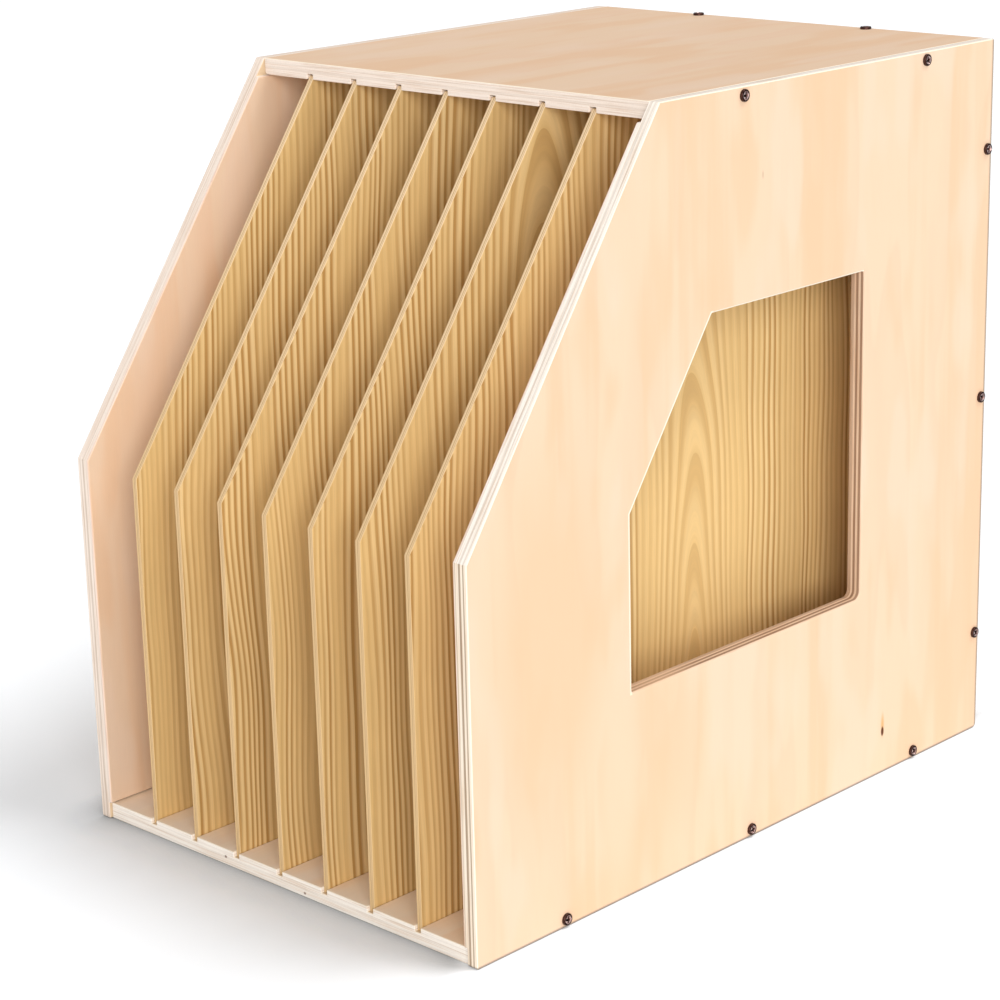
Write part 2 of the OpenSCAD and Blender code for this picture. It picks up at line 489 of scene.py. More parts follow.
veneer = {
    "spacing": 160 * mm,
    "wander": 4.0,
    "width": 42 * mm,
    "length": 230 * mm,
    "flame": 0.5,
    "streak": 0.7,
    "curl": 0.65,  # soft patches, darker and paler than the rest: their strength, width and length
    "curlWidth": 22 * mm,
    "curlLength": 80 * mm,
    "sawLine": 0.45 * mm,  # fine lines along the sawn edges: their width and length
    "sawLineLength": 30 * mm,
    "levelFrom": (0.3, 0.58),  # how far upwards a cut edge turns from upright to level
    "levelContrast": 0.35,  # share of the layers' contrast that stays on level edges
    "blush": 0.8,
    "roughness": (0.62, 0.76),
    "bump": 0.2,
}
faceToEdge = (0.95, 0.55)  # how squarely a surface looks out of its board, from a face to a cut edge
woodGloss = 0.3
fibreDepth = 0.1 * mm
pine = {
    "spacing": 3.6 * mm,
    "wander": 4.0,
    "width": 34 * mm,
    "length": 600 * mm,
    "heartSpread": 220 * mm,  # how far the heart of the log lies aside, from divider to divider
    "lean": 0.09,  # how fast the cut leaves the heart on its way up
    "waver": 14 * mm,
    "waverWidth": 90 * mm,
    "waverLength": 130 * mm,
    "apart": 9 * mm,  # boards this far from each other have heart and waver of their own
    "calm": 70 * mm,  # round the heart the rings are fainter
    "roughness": (0.6, 0.75),
    "bump": 0.25,
}


def turnGrain(tree, vector):  # grain along Y, where the grain group runs it along Z
    mapping = tree.nodes.new("ShaderNodeMapping")
    mapping.inputs["Rotation"].default_value = (math.pi / 2, 0, 0)
    feed(tree, mapping.inputs["Vector"], vector)
    return mapping.outputs["Vector"]


def splitVector(tree, vector):
    node = tree.nodes.new("ShaderNodeSeparateXYZ")
    feed(tree, node.inputs["Vector"], vector)
    return node.outputs


def addFibreBump(tree, shader, fibre, strength):
    bump = tree.nodes.new("ShaderNodeBump")
    bump.inputs["Strength"].default_value = strength
    bump.inputs["Distance"].default_value = fibreDepth
    feed(tree, bump.inputs["Height"], fibre)
    feed(tree, shader.inputs["Normal"], bump.outputs["Normal"])


def withinBox(tree, where, box):  # 1 inside a box across the board, given as (centre, half) for Y and for Z
    (middleY, halfY), (middleZ, halfZ) = box
    return calc(tree, "MULTIPLY", calc(tree, "COMPARE", where["Y"], middleY, halfY),
                calc(tree, "COMPARE", where["Z"], middleZ, halfZ))


def paintedRimHighlight(tree, where, cutout):  # 1 on a narrow band in front of a cut-out and along its slope, where a painted highlight goes
    turnY, turnZ = cutout["turn"]
    leanY, leanZ = cutout["lean"]
    before = calc(tree, "SUBTRACT", turnY, where["Y"])
    ahead = calc(tree, "MULTIPLY", calc(tree, "SUBTRACT", where["Y"], turnY), leanY)
    beyond = calc(tree, "MULTIPLY_ADD", calc(tree, "SUBTRACT", where["Z"], turnZ), leanZ, ahead)
    reach = calc(tree, "MAXIMUM", before, beyond)
    band = calc(tree, "MULTIPLY", calc(tree, "GREATER_THAN", reach, 0.0),
                remap(tree, reach, cutout["rubbed"], cutout["rubbed"] * cutout["fadeFrom"]))
    return calc(tree, "MULTIPLY", band, calc(tree, "COMPARE", where["Z"], *cutout["box"][1]))


# Plywood: thickness names the board's thin axis, grain the axis its face veneer runs along
def plywoodMaterial(name, thickness, inside, outside, grain, contrast, marks=(), cutout=None,
                    edgeTones=("edgePale", "edgePale"), faceTint=(1.0, 1.0, 1.0, 1.0)):
    material, tree, shader = newMaterial(name)
    place = tree.nodes.new("ShaderNodeTexCoord")
    turned = turnGrain(tree, place.outputs["Object"]) if grain == "Y" else place.outputs["Object"]
    wood = useGroup(tree, grainGroup, Vector=turned, Spacing=veneer["spacing"], Wander=veneer["wander"],
                    Width=veneer["width"], Length=veneer["length"])

    # The veneer: soft flames that end on a faint line, then long streaks, curls and fine fibres
    flame = ramp(tree, wood["Ring"], [(0.0, grey(0.0)), (0.5, grey(0.08)),
                                      (0.94, grey(1.0)), (1.0, grey(0.0))])
    toned = blendColours(tree, calc(tree, "MULTIPLY", flame, veneer["flame"]),
                         woodColours["veneerPale"], woodColours["veneerRose"])
    streak = remap(tree, wood["Streak"], 0.5, 0.66, 0.0, veneer["streak"])
    streaked = blendColours(tree, streak, toned, woodColours["veneerPeach"])
    across = 1 / veneer["curlWidth"]
    curl = noise(tree, stretch(tree, turned, across, across, 1 / veneer["curlLength"]), detail=1.5)
    dark = remap(tree, curl, 0.53, 0.66, 0.0, veneer["curl"])
    warmed = blendColours(tree, dark, streaked, woodColours["veneerPeach"])
    light = remap(tree, curl, 0.47, 0.34, 0.0, veneer["curl"])
    curled = blendColours(tree, light, warmed, woodColours["veneerMilk"])
    fibred = blendColours(tree, 1.0, curled, drawOut(tree, wood["Fibre"], 0.985, 1.01), "MULTIPLY")
    face = blendColours(tree, 1.0, fibred, faceTint, "MULTIPLY")

    # Cut surfaces show the layers, most of all where they stand upright, and those of the window are scorched
    where = splitVector(tree, place.outputs["Object"])
    facing = splitVector(tree, place.outputs["Normal"])
    depth = calc(tree, "DIVIDE", calc(tree, "SUBTRACT", where[thickness], inside), outside - inside)
    layers = useGroup(tree, plyGroup, Depth=depth)
    level = calc(tree, "ABSOLUTE", facing["Z"])
    sloped = remap(tree, level, *veneer["levelFrom"])
    clear = remap(tree, level, *veneer["levelFrom"], contrast, contrast * veneer["levelContrast"])
    shown = calc(tree, "MULTIPLY", layers["Sawn"], clear)
    ground = blendColours(tree, sloped, *(woodColours[tone] for tone in edgeTones))
    if cutout:  # the innermost layer of a side panel is pinker
        blush = calc(tree, "MULTIPLY", remap(tree, depth, 0.16, 0.04), veneer["blush"])
        ground = blendColours(tree, blush, ground, woodColours["edgeBlush"])
    sawn = blendColours(tree, shown, ground, woodColours["edgeDark"])
    within = withinBox(tree, where, cutout["box"]) if cutout else 0.0
    if cutout:
        scorched = blendColours(tree, layers["Scorched"], woodColours["scorchPale"],
                                woodColours["scorchDark"])
        sawn = blendColours(tree, within, sawn, scorched)
    fine = [veneer["sawLine"] if axis == thickness else veneer["sawLineLength"] for axis in "XYZ"]
    lines = noise(tree, stretch(tree, place.outputs["Object"], *(1 / size for size in fine)), detail=3.0)
    thinned = ramp(tree, lines, [(0.34, woodColours["sawLine"]), (0.53, grey(1.0))])
    lined = blendColours(tree, 1.0, sawn, thinned, "MULTIPLY")
    edge = blendColours(tree, 1.0, lined, drawOut(tree, wood["Fibre"], 0.95, 1.02), "MULTIPLY")
    flatness = calc(tree, "ABSOLUTE", facing[thickness])
    routed = calc(tree, "COMPARE", depth, 0.5, 0.42)  # rebates and grooves lie below the veneer
    flat = blendColours(tree, routed, face, woodColours["routed"])
    colour = blendColours(tree, remap(tree, flatness, *faceToEdge), flat, edge)

    rise = calc(tree, "SUBTRACT", facing["Z"], facing["Y"])
    arris = useGroup(tree, arrisGroup, Flatness=flatness, Rise=rise, Within=within)
    # pale arrises that face up and forwards, and the pale rim round the window: painted highlight
    paintedHighlight = arris["Pale"]
    if cutout:
        # the pale rim round the window's front and slope: painted highlight
        rim = calc(tree, "MULTIPLY", paintedRimHighlight(tree, where, cutout), remap(tree, flatness, 0.5, 0.8))
        paintedHighlight = calc(tree, "MAXIMUM", paintedHighlight, rim)
    paintedHighlight = calc(tree, "MULTIPLY", paintedHighlight, calc(tree, "GREATER_THAN", depth, 0.5))  # on the outer side alone
    colour = blendColours(tree, paintedHighlight, colour, woodColours["arrisPale"])
    # arrises that face down and back are darkened: painted shade
    colour = blendColours(tree, arris["Grubby"], colour, woodColours["arrisGrubby"])
    for tone, centre, radius, length, evenShare, strength in marks:
        mark = useGroup(tree, markGroup, Vector=place.outputs["Object"], Centre=centre, Radius=radius,
                        Length=length, Core=evenShare)
        colour = blendColours(tree, calc(tree, "MULTIPLY", mark["Mask"], strength), colour, woodColours[tone])

    feed(tree, shader.inputs["Base Color"], colour)
    feed(tree, shader.inputs["Roughness"], drawOut(tree, wood["Fibre"], *veneer["roughness"]))
    shader.inputs["Specular IOR Level"].default_value = woodGloss
    addFibreBump(tree, shader, wood["Fibre"], veneer["bump"])
    return material


# Pine for the dividers, whose edges show three thin layers.
# First is the place of one divider's face, pitch the step from divider to divider
def pineMaterial(first, pitch, thickness):
    material, tree, shader = newMaterial("dividerPine")
    place = tree.nodes.new("ShaderNodeTexCoord")
    where = splitVector(tree, place.outputs["Object"])
    facing = splitVector(tree, place.outputs["Normal"])

    # Flat-sawn: rings round a leaning heart, so arches in the middle and straight lines at the sides
    apart = 1 / pine["apart"]
    luck = noise(tree, stretch(tree, place.outputs["Object"], apart, 0.0, 0.0), detail=0.0)
    heart = calc(tree, "MULTIPLY", calc(tree, "SUBTRACT", luck, 0.5), pine["heartSpread"])
    bends = stretch(tree, place.outputs["Object"], apart, 1 / pine["waverWidth"], 1 / pine["waverLength"])
    waver = noise(tree, bends, detail=1.0)
    swayed = calc(tree, "MULTIPLY_ADD", waver, pine["waver"], where["Y"])
    aside = calc(tree, "SUBTRACT", swayed, heart)
    above = calc(tree, "MULTIPLY", where["Z"], pine["lean"])
    squares = calc(tree, "ADD", calc(tree, "POWER", aside, 2.0), calc(tree, "POWER", above, 2.0))
    distance = calc(tree, "SQRT", squares)
    log = tree.nodes.new("ShaderNodeCombineXYZ")
    feed(tree, log.inputs["X"], where["X"])
    feed(tree, log.inputs["Y"], distance)
    feed(tree, log.inputs["Z"], where["Z"])
    wood = useGroup(tree, grainGroup, Vector=log.outputs["Vector"], Spacing=pine["spacing"],
                    Wander=pine["wander"], Width=pine["width"], Length=pine["length"])
    rings = ramp(tree, wood["Ring"], [(0.0, woodColours["pineMid"]), (0.14, woodColours["pinePale"]),
                                      (0.4, woodColours["pinePale"]), (0.72, woodColours["pineLine"]),
                                      (0.92, woodColours["pineLine"])])
    faint = calc(tree, "MAXIMUM", remap(tree, wood["Streak"], 0.42, 0.62, 0.0, 0.8),
                 remap(tree, distance, 0.0, pine["calm"], 0.75, 0.0))
    face = blendColours(tree, faint, rings, woodColours["pineMid"])
    inward = calc(tree, "FLOORED_MODULO", calc(tree, "SUBTRACT", where["X"], first), pitch)
    layer = useGroup(tree, plyGroup, Depth=calc(tree, "DIVIDE", inward, thickness))["Sawn"]
    paler = remap(tree, facing["Z"], 0.2, 0.6)  # along the slope, which is sanded across the grain
    toned = blendColours(tree, paler, woodColours["pineFront"], woodColours["pineEdge"])
    edge = blendColours(tree, layer, toned, woodColours["pineEdgeLine"])
    flatness = calc(tree, "ABSOLUTE", facing["X"])
    colour = blendColours(tree, remap(tree, flatness, *faceToEdge), face, edge)

    fibre = drawOut(tree, wood["Fibre"], 0.94, 1.03)
    feed(tree, shader.inputs["Base Color"], blendColours(tree, 1.0, colour, fibre, "MULTIPLY"))
    feed(tree, shader.inputs["Roughness"], drawOut(tree, wood["Fibre"], *pine["roughness"]))
    shader.inputs["Specular IOR Level"].default_value = woodGloss
    addFibreBump(tree, shader, wood["Fibre"], pine["bump"])
    return material


bronze = {
    "cloudScale": 900.0,
    "roughness": (0.3, 0.45),
    "tones": [(0.0, paint(24, 11, 9)), (0.2, paint(58, 34, 28)),  # from the dark head to the painted highlight on its crown
              (0.55, paint(112, 82, 76)), (1.0, paint(214, 190, 186))],
}


def bronzeMaterial():
    material, tree, shader = newMaterial("screwBronze")
    place = tree.nodes.new("ShaderNodeTexCoord")
    cloud = noise(tree, place.outputs["Object"], detail=3.0, scale=bronze["cloudScale"])
    # the head's attribute paints a highlight on the crown round the recess
    rub = tree.nodes.new("ShaderNodeAttribute")
    rub.attribute_name = "rub"
    rubbed = ramp(tree, rub.outputs["Fac"], bronze["tones"])
    colour = blendColours(tree, 1.0, rubbed, drawOut(tree, cloud, 0.8, 1.1), "MULTIPLY")
    feed(tree, shader.inputs["Base Color"], colour)
    feed(tree, shader.inputs["Roughness"], drawOut(tree, cloud, *bronze["roughness"]))
    shader.inputs["Metallic"].default_value = 1.0
    return material


def floorMaterial():
    material, tree, shader = newMaterial("paleFloor")
    # the floor's colour is darkened by ambient occlusion round the rack's foot: a painted shadow, left off on
    # the side the lights reach
    contact = tree.nodes.new("ShaderNodeAmbientOcclusion")
    contact.samples = studio["contactSamples"]
    contact.inputs["Distance"].default_value = studio["contactReach"]
    shade = calc(tree, "POWER", contact.outputs["AO"], studio["contactDepth"])
    place = tree.nodes.new("ShaderNodeTexCoord")
    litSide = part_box("right_side_panel")[1].x  # past here the lights reach the foot of the rack
    across = splitVector(tree, place.outputs["Object"])["X"]
    lit = remap(tree, across, litSide - studio["contactReach"], litSide)
    feed(tree, shader.inputs["Base Color"],
         blendColours(tree, 1.0, studio["floorTone"], calc(tree, "MAXIMUM", shade, lit), "MULTIPLY"))
    shader.inputs["Roughness"].default_value = studio["floorRoughness"]
    shader.inputs["Emission Color"].default_value = grey(1.0)
    shader.inputs["Emission Strength"].default_value = studio["floorGlow"]
    return material


# Side panels

sidePanel = {
    "frontHeight": 171 * mm,
    "slopeRun": 116 * mm,
    "cornerRadius": 1 * mm,
    "heelRadius": 2.5 * mm,
    "rebateDepth": 1.8 * mm,
    "shoulderGap": 0.4 * mm,
    "ease": 0.6 * mm,
    "segments": 4,
}
window = {
    "front": 96 * mm,
    "rear": 96.5 * mm,
    "below": 91.5 * mm,
    "above": 91.5 * mm,
    "frontHeight": 77.5 * mm,
    "radius": 1 * mm,
    "heelRadius": 3.5 * mm,
    "ease": 1.1 * mm,  # round its outer rim
    "rubbed": 1.7 * mm,  # how far the pale rim, a painted highlight, reaches onto the face
    "fadeFrom": 0.7,  # share of that reach
    "segments": 6,
    "easeSegments": 4,
}
overrun = 1 * mm  # how far a cutter runs past the face that it opens
slightly = 0.1 * mm  # the same where little room is left


def slopeNormal():
    low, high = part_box("right_side_panel")
    return Vector((0, low.z + sidePanel["frontHeight"] - high.z, sidePanel["slopeRun"])).normalized()


def onWindowRim(spot, low, high):  # true on the outer rim of the window
    besideWindow = low.y + window["front"] / 2 < spot.y < high.y - window["rear"] / 2
    levelWithWindow = low.z + window["below"] / 2 < spot.z < high.z - window["above"] / 2
    return spot.x > high.x - sameSpot and besideWindow and levelWithWindow


def buildSidePanel(name):
    low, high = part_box("right_side_panel")
    panel = addBlock(name, low, high)
    sawOff(panel, (low.x, low.y, low.z + sidePanel["frontHeight"]), slopeNormal())
    roundOutline(panel, sidePanel["cornerRadius"], sidePanel["heelRadius"], sidePanel["segments"])

    front = low.y + window["front"]
    below = low.z + window["below"]
    opening = addBlock("windowCutter", (low.x - overrun, front, below),
                       (high.x + overrun, high.y - window["rear"], high.z - window["above"]))
    sawOff(opening, (low.x, front, below + window["frontHeight"]), slopeNormal())
    roundOutline(opening, window["radius"], window["heelRadius"], window["segments"])
    cutAway(panel, opening)
    selectEdges(panel, lambda edge: all(onWindowRim(vert.co, low, high) for vert in edge.verts))
    bpy.ops.mesh.bevel(offset=window["ease"], segments=window["easeSegments"], affect="EDGES",
                       clamp_overlap=False)
    bpy.ops.object.mode_set(mode="OBJECT")

    floorOfRebate = low.x + sidePanel["rebateDepth"]
    shoulder = high.x - low.x + sidePanel["shoulderGap"]
    past = Vector((overrun, overrun, overrun))
    outer = Vector((floorOfRebate, high.y + overrun, high.z + overrun))
    cutAway(
        panel,
        addBlock("topRebate", (low.x - overrun, low.y - overrun, high.z - shoulder), outer),
        addBlock("bottomRebate", low - past, (floorOfRebate, high.y + overrun, low.z + shoulder)),
        addBlock("rearRebate", (low.x - overrun, high.y - shoulder, low.z - overrun), outer),
    )
    easeEdges(panel, sidePanel["ease"])
    return panel


def mirrored(piece, name):
    copy = copyOf(piece, name)
    copy.scale.x = -1
    bpy.ops.object.transform_apply(location=True, rotation=True, scale=True)
    bpy.ops.object.mode_set(mode="EDIT")
    bpy.ops.mesh.select_all(action="SELECT")
    bpy.ops.mesh.normals_make_consistent(inside=False)
    bpy.ops.object.mode_set(mode="OBJECT")
    return copy


# Top, bottom and back panels

flatPanel = {
    "ease": 0.45 * mm,
    "groovePlay": 0.25 * mm,
    "grooveDepth": 2.4 * mm,
    "topEndRadius": 1.5 * mm,  # along the top panel's lower ends
    "topEndSegments": 4,
}
dividerNames = sorted(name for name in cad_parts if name.startswith("divider_"))


def grooveCutters(front, lower, upper):  # one for each divider, from the front edge back to the back panel
    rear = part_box("back_panel")[0].y
    cutters = []
    for name in dividerNames:
        low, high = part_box(name)
        cutters.append(addBlock("grooveCutter", (low.x - flatPanel["groovePlay"], front - overrun, lower),
                                (high.x + flatPanel["groovePlay"], rear, upper)))
    return cutters


def buildTopPanel():
    low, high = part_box("top_panel")
    panel = addBlock("topPanel", low, high)
    selectEdges(panel, lambda edge: runsBack(edge) and edge.verts[0].co.z < low.z + overrun)
    bpy.ops.mesh.bevel(offset=flatPanel["topEndRadius"], segments=flatPanel["topEndSegments"], affect="EDGES")
    bpy.ops.object.mode_set(mode="OBJECT")
    cutAway(panel, *grooveCutters(low.y, low.z - overrun, low.z + flatPanel["grooveDepth"]))
    easeEdges(panel, flatPanel["ease"])
    return panel


def buildBottomPanel():
    low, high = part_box("bottom_panel")
    panel = addBlock("bottomPanel", low, high)
    cutAway(panel, *grooveCutters(low.y, high.z - flatPanel["grooveDepth"], high.z + overrun))
    easeEdges(panel, flatPanel["ease"])
    return panel


def buildBackPanel():
    panel = addBlock("backPanel", *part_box("back_panel"))
    easeEdges(panel, flatPanel["ease"])
    return panel


# Dividers

divider = {
    "setback": 1.5 * mm,  # behind the front edges of the panels that hold it
    "ease": 0.3 * mm,
    "segments": 2,
}


def buildDividers():
    low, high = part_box(dividerNames[0])
    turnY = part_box("top_panel")[0].y + divider["setback"]
    first = addBlock("divider1", low, high)
    sawOff(first, (low.x, turnY, high.z), slopeNormal())
    easeEdges(first, divider["ease"], divider["segments"])
    shadeFlatFaces(first)
    pieces = [first]
    for count, name in enumerate(dividerNames[1:], start=2):
        copy = copyOf(first, f"divider{count}")
        copy.location.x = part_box(name)[0].x - low.x
        bpy.ops.object.transform_apply(location=True, rotation=True, scale=True)
        pieces.append(copy)
    return pieces


# Screws

screw = {
    "boxedHeadWidth": 5.6 * mm,  # the head that the frame's boxes hold
    "boxedHeadHeight": 1.9 * mm,
    "headWidth": 5.3 * mm,  # the head that is seen, which stands less proud
    "headHeight": 1.2 * mm,
    "headSides": 40,
    "dome": 0.45 * mm,
    "domeSegments": 6,
    "recessSpan": 3.6 * mm,
    "recessWidth": 1.1 * mm,
    "recessDepth": 1.1 * mm,
    "recessTaper": 0.45,
    "crownDepth": 0.05 * mm,
    "crownRub": 0.85,  # how bright the painted highlight is round the recess, and on the rim
    "rimRub": 0.3,
    "rimFrom": 0.75,  # share of the radius
    "softUpTo": 35,  # degrees
    "coreWidth": 2.1 * mm,
    "threadWidth": 3.0 * mm,
    "pitch": 1.25 * mm,
    "turnSteps": 20,
    "plainNeck": 2.5 * mm,
    "length": 25 * mm,
    "tip": 4 * mm,
    "tipScale": 0.06,
    "bite": 0.2 * mm,  # how far the core reaches into the head
    "holeWidth": 3.2 * mm,
    "sinkPlay": 0.5 * mm,
    "sinkReach": 10 * mm,
    "turnByRow": 0.7,  # no two recesses stand alike
    "turnByStep": 1.9,
}
# Each row: the way its screws point, how many there are, and the panels that they go through
screwRows = {
    "right_top_screws": {"into": (-1, 0, 0), "count": 2, "through": ("right_side_panel", "top_panel")},
    "right_back_screws": {"into": (-1, 0, 0), "count": 3, "through": ("right_side_panel", "back_panel")},
    "right_bottom_screws": {"into": (-1, 0, 0), "count": 3, "through": ("right_side_panel", "bottom_panel")},
    "left_top_screws": {"into": (1, 0, 0), "count": 2, "through": ("left_side_panel", "top_panel")},
    "left_back_screws": {"into": (1, 0, 0), "count": 3, "through": ("left_side_panel", "back_panel")},
    "left_bottom_screws": {"into": (1, 0, 0), "count": 3, "through": ("left_side_panel", "bottom_panel")},
    "top_rear_screws": {"into": (0, 0, -1), "count": 2, "through": ("top_panel", "back_panel")},
    "bottom_rear_screws": {"into": (0, 0, 1), "count": 2, "through": ("bottom_panel", "back_panel")},
}


def addRod(name, width, top, bottom, sides=32):
    bpy.ops.object.select_all(action="DESELECT")
    bpy.ops.mesh.primitive_cylinder_add(vertices=sides, radius=width / 2, depth=top - bottom,
                                        location=(0, 0, (top + bottom) / 2))
    rod = bpy.context.object
    rod.name = name
    bpy.ops.object.transform_apply(location=True, rotation=True, scale=True)
    return rod


def recessCutter(turn):  # one wing of the cross recess, narrower at its foot
    foot = screw["headHeight"] - screw["recessDepth"]
    half = Vector((screw["recessSpan"] / 2, screw["recessWidth"] / 2, 0))
    wing = addBlock("recessWing", Vector((0, 0, foot)) - half,
                    Vector((0, 0, screw["headHeight"] + slightly)) + half)
    pickOnly(wing)
    bpy.ops.object.mode_set(mode="EDIT")
    bpy.ops.mesh.select_mode(type="VERT")
    bpy.ops.mesh.select_all(action="DESELECT")
    shape = bmesh.from_edit_mesh(wing.data)
    for vert in shape.verts:
        if vert.co.z < foot + slightly:
            vert.select_set(True)
    shape.select_flush_mode()
    bmesh.update_edit_mesh(wing.data)
    bpy.ops.transform.resize(value=(screw["recessTaper"], screw["recessTaper"], 1))
    bpy.ops.object.mode_set(mode="OBJECT")
    wing.rotation_euler.z = turn
    bpy.ops.object.transform_apply(location=True, rotation=True, scale=True)
    return wing


def buildScrew():  # seat at z = 0, head above it, point below
    head = addRod("screw", screw["headWidth"], screw["headHeight"], 0, sides=screw["headSides"])
    selectEdges(head, lambda edge: all(vert.co.z > screw["headHeight"] / 2 for vert in edge.verts))
    bpy.ops.mesh.bevel(offset=screw["dome"], segments=screw["domeSegments"], affect="EDGES")
    bpy.ops.object.mode_set(mode="OBJECT")
    cutAway(head, recessCutter(0), recessCutter(math.pi / 2))
    paintHeadSheen(head)

    shoulder = screw["tip"] - screw["length"]
    core = addRod("screwCore", screw["coreWidth"], screw["bite"], shoulder)
    pickOnly(core)
    bpy.ops.object.mode_set(mode="EDIT")
    bpy.ops.mesh.select_mode(type="FACE")
    bpy.ops.mesh.select_all(action="DESELECT")
    shape = bmesh.from_edit_mesh(core.data)
    for face in shape.faces:
        if face.normal.z < -0.9:
            face.select_set(True)
    bmesh.update_edit_mesh(core.data)
    bpy.ops.mesh.extrude_region_move(TRANSFORM_OT_translate={"value": (0, 0, -screw["tip"])})
    bpy.ops.transform.resize(value=(screw["tipScale"], screw["tipScale"], 1))
    bpy.ops.object.mode_set(mode="OBJECT")

    thread = buildThread(shoulder)
    pickOnly(head, core, thread)
    bpy.context.view_layer.objects.active = head
    bpy.ops.object.join()
    pickOnly(head)
    bpy.ops.object.shade_smooth_by_angle(angle=math.radians(screw["softUpTo"]))
    return head


def paintHeadSheen(head):  # a painted highlight round the recess, dark in a ring round that, dull on the rim
    crown = screw["headHeight"] - screw["crownDepth"]
    rub = head.data.attributes.new("rub", "FLOAT", "POINT")
    for vert, share in zip(head.data.vertices, rub.data):
        outwards = vert.co.xy.length / (screw["headWidth"] / 2)
        if vert.co.z > crown:
            share.value = screw["crownRub"] if outwards < screw["rimFrom"] else 0.0
        elif outwards > screw["rimFrom"]:
            share.value = screw["rimRub"]


def buildThread(foot):  # a three-sided ridge wound up the core
    rootRadius = screw["coreWidth"] / 2
    height = (screw["threadWidth"] - screw["coreWidth"]) / 2
    bpy.ops.object.select_all(action="DESELECT")
    bpy.ops.mesh.primitive_circle_add(vertices=3, radius=height, fill_type="NOTHING",
                                      location=(rootRadius, 0, foot), rotation=(math.pi / 2, -math.pi / 2, 0))
    thread = bpy.context.object
    thread.name = "screwThread"
    bpy.ops.object.transform_apply(location=True, rotation=True, scale=True)
    winding = thread.modifiers.new("winding", "SCREW")
    winding.axis = "Z"
    winding.screw_offset = screw["pitch"]
    winding.iterations = int((-foot - screw["plainNeck"]) / screw["pitch"])
    winding.steps = screw["turnSteps"]
    winding.render_steps = screw["turnSteps"]
    bpy.ops.object.modifier_apply(modifier=winding.name)
    bpy.ops.object.mode_set(mode="EDIT")
    bpy.ops.mesh.select_all(action="SELECT")
    bpy.ops.mesh.fill_holes(sides=3)
    bpy.ops.mesh.normals_make_consistent(inside=False)
    bpy.ops.object.mode_set(mode="OBJECT")
    return thread


def screwPlaces(node, row):  # seats, evenly spaced along the row
    low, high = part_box(node)
    into = Vector(row["into"])
    axis = max(range(3), key=lambda i: abs(into[i]))
    middle = (low + high) / 2
    seat = (high if into[axis] < 0 else low)[axis] + into[axis] * screw["boxedHeadHeight"]
    along = max((i for i in range(3) if i != axis), key=lambda i: high[i] - low[i])
    first = low[along] + screw["boxedHeadWidth"] / 2
    last = high[along] - screw["boxedHeadWidth"] / 2
    places = []
    for step in range(row["count"]):
        place = middle.copy()
        place[axis] = seat
        place[along] = first + (last - first) * step / (row["count"] - 1)
        places.append(place)
    return places


def putAt(piece, place, into, turn=0.0):  # stands a piece made along Z on its place, pointing into the wood
    upright = Vector((0, 0, -1)).rotation_difference(Vector(into))
    piece.rotation_mode = "QUATERNION"
    piece.rotation_quaternion = upright @ Quaternion((0, 0, 1), turn)
    piece.location = place
    pickOnly(piece)
    bpy.ops.object.transform_apply(location=True, rotation=True, scale=True)


def drill(panels, node, row):  # the holes of one row, in both panels that it joins
    for place in screwPlaces(node, row):
        for name in row["through"]:
            bit = addRod("drill", screw["holeWidth"], slightly, -screw["length"] - slightly, sides=20)
            putAt(bit, place, row["into"])
            cutAway(panels[name], bit)
        if node == "bottom_rear_screws":
            sunkWidth = screw["boxedHeadWidth"] + 2 * screw["sinkPlay"]
            sink = addRod("sinkDrill", sunkWidth, screw["sinkReach"], 0)
            putAt(sink, place, row["into"])
            cutAway(panels["bottom_panel"], sink)


def buildScrewRow(node, row, pattern, number):
    copies = []
    for step, place in enumerate(screwPlaces(node, row)):
        copy = copyOf(pattern, f"{node}_{step}")
        turn = screw["turnByRow"] * number + screw["turnByStep"] * step
        putAt(copy, place, row["into"], turn)
        copies.append(copy)
    pickOnly(*copies)
    bpy.ops.object.join()
    joined = bpy.context.object
    words = node.split("_")
    joined.name = words[0] + "".join(word.capitalize() for word in words[1:])
    return joined


# Putting the rack together

addCamera()
addLights()
addFloor(floorMaterial())
print("camera, light and floor ready")

rightPanel = buildSidePanel("rightSidePanel")
panels = {
    "right_side_panel": rightPanel,
    "left_side_panel": mirrored(rightPanel, "leftSidePanel"),
    "top_panel": buildTopPanel(),
    "bottom_panel": buildBottomPanel(),
    "back_panel": buildBackPanel(),
}
print("panels built")

screwPattern = buildScrew()
screwPieces = {}
for number, (node, row) in enumerate(screwRows.items()):
    drill(panels, node, row)
    screwPieces[node] = buildScrewRow(node, row, screwPattern, number)
bpy.data.objects.remove(screwPattern)
print("screws driven")

dividerPieces = buildDividers()
print("dividers slid in")

bottomLow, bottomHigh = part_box("bottom_panel")
rightLow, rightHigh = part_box("right_side_panel")
topLow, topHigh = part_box("top_panel")
backLow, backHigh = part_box("back_panel")
endless = 5.0  # longer than any board, so that a mark becomes a line along its edge
# a dark band along the foot of the right panel and another down its rear edge: painted shade
paintedFootShade = ("scuff", (0, 0, 0), endless, 1.6 * mm, 0.35, 0.8)
rightMarks = (  # tone, place, half width, half length, even share, strength
    paintedFootShade,
    ("scuff", (rightHigh.x, rightHigh.y, 0), 2.2 * mm, endless, 0.35, 0.7),
    ("veneerPeach", (rightHigh.x, -128 * mm, 128 * mm), 44 * mm, 100 * mm, 0.35, 0.75),
    ("veneerPeach", (rightHigh.x, -62 * mm, 62 * mm), 34 * mm, 70 * mm, 0.35, 0.5),
    ("veneerPale", (rightHigh.x, -88 * mm, 52 * mm), 16 * mm, 60 * mm, 0.35, 0.8),
    ("knotHalo", (rightHigh.x, 97.7 * mm, 24 * mm), 1.9 * mm, 8.5 * mm, 0.1, 0.9),
    ("knot", (rightHigh.x, 97.7 * mm, 20.8 * mm), 1.3 * mm, 2.9 * mm, 0.55, 1.0),
    ("knot", (rightHigh.x, 6.7 * mm, 296.7 * mm), 0.6 * mm, 2.5 * mm, 0.3, 0.3),
)
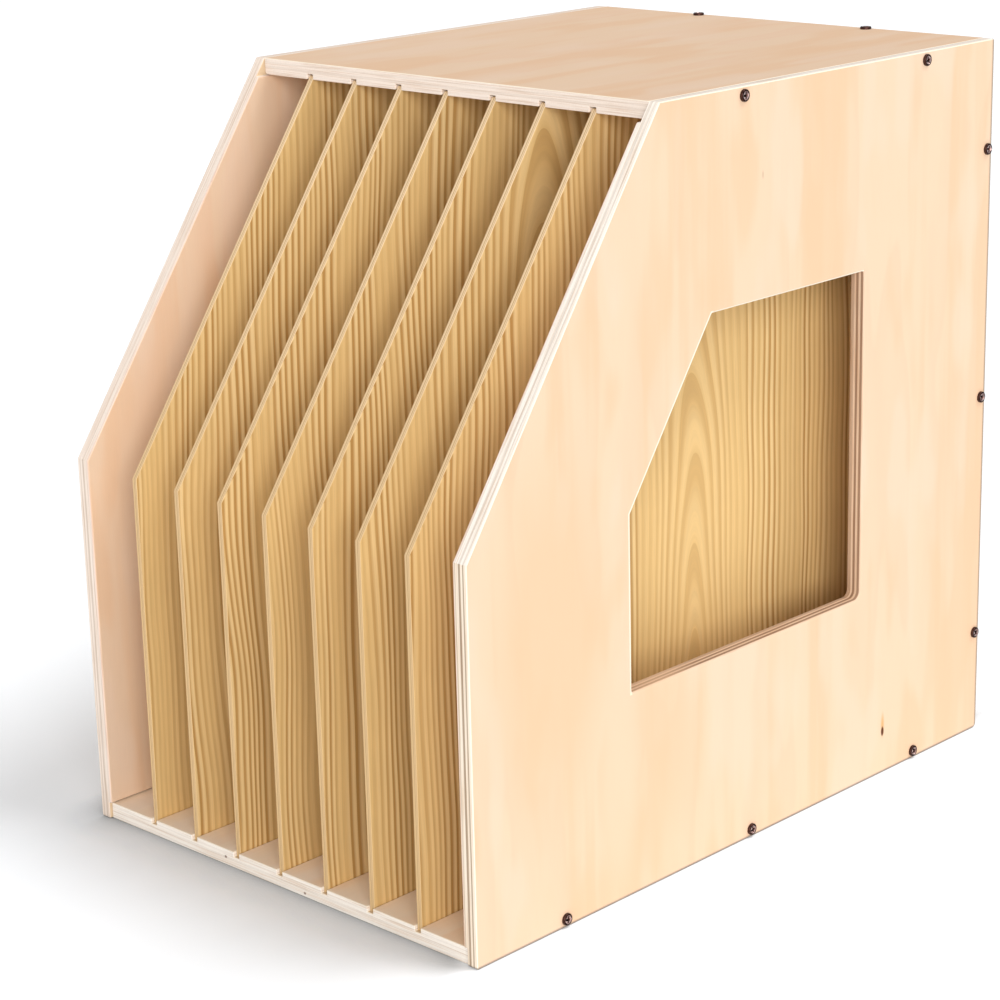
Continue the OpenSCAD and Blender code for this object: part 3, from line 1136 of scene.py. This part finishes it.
frontMarks = (
    ("knot", (-35.3 * mm, bottomLow.y, 3.8 * mm), 1.1 * mm, 0.9 * mm, 0.35, 0.8),
    ("knot", (16.1 * mm, bottomLow.y, 1.8 * mm), 1.0 * mm, 0.8 * mm, 0.35, 0.8),
)
windowFront = rightLow.y + window["front"]
windowRear = rightHigh.y - window["rear"]
windowFoot = rightLow.z + window["below"]
windowHead = rightHigh.z - window["above"]
windowShape = {
    "box": (((windowFront + windowRear) / 2, (windowRear - windowFront) / 2 + overrun),
            ((windowFoot + windowHead) / 2, (windowHead - windowFoot) / 2 + overrun)),
    "turn": (windowFront, windowFoot + window["frontHeight"]),
    "lean": slopeNormal().yz,
    "rubbed": window["rubbed"],
    "fadeFrom": window["fadeFrom"],
}
panelMaterials = {
    "right_side_panel": plywoodMaterial("rightPlywood", "X", rightLow.x, rightHigh.x, "Z", 0.95, rightMarks,
                                        windowShape, ("edgeCream", "edgeCool")),
    # the left panel's edges take the darker rose tone: painted shade where less light falls
    "left_side_panel": plywoodMaterial("leftPlywood", "X", -rightLow.x, -rightHigh.x, "Z", 0.4, (),
                                       windowShape, ("edgeRose", "edgeRose")),
    "top_panel": plywoodMaterial("topPlywood", "Z", topLow.z, topHigh.z, "Y", 0.16,
                                 edgeTones=("edgeRose", "edgeRose")),
    # the bottom panel's face is a brighter, paler copy of the veneer, and its edges take the paler cool tone:
    # painted light that lifts the slot floors and the front edge out of their shade
    "bottom_panel": plywoodMaterial("bottomPlywood", "Z", bottomLow.z, bottomHigh.z, "Y", 0.14, frontMarks,
                                    edgeTones=("edgeCool", "edgeCool"), faceTint=(1.28, 1.45, 1.6, 1.0)),
    "back_panel": plywoodMaterial("backPlywood", "Y", backLow.y, backHigh.y, "Z", 0.5),
}
for node, piece in panels.items():
    shadeFlatFaces(piece)
    dress(piece, node, "case", panelMaterials[node])
screwFinish = bronzeMaterial()
for node, piece in screwPieces.items():
    dress(piece, node, "case", screwFinish)
firstLow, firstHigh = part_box(dividerNames[0])
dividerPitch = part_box(dividerNames[1])[0].x - firstLow.x
dividerFinish = pineMaterial(firstLow.x, dividerPitch, firstHigh.x - firstLow.x)
for node, piece in zip(dividerNames, dividerPieces):
    dress(piece, node, node, dividerFinish)
print("finishes on")
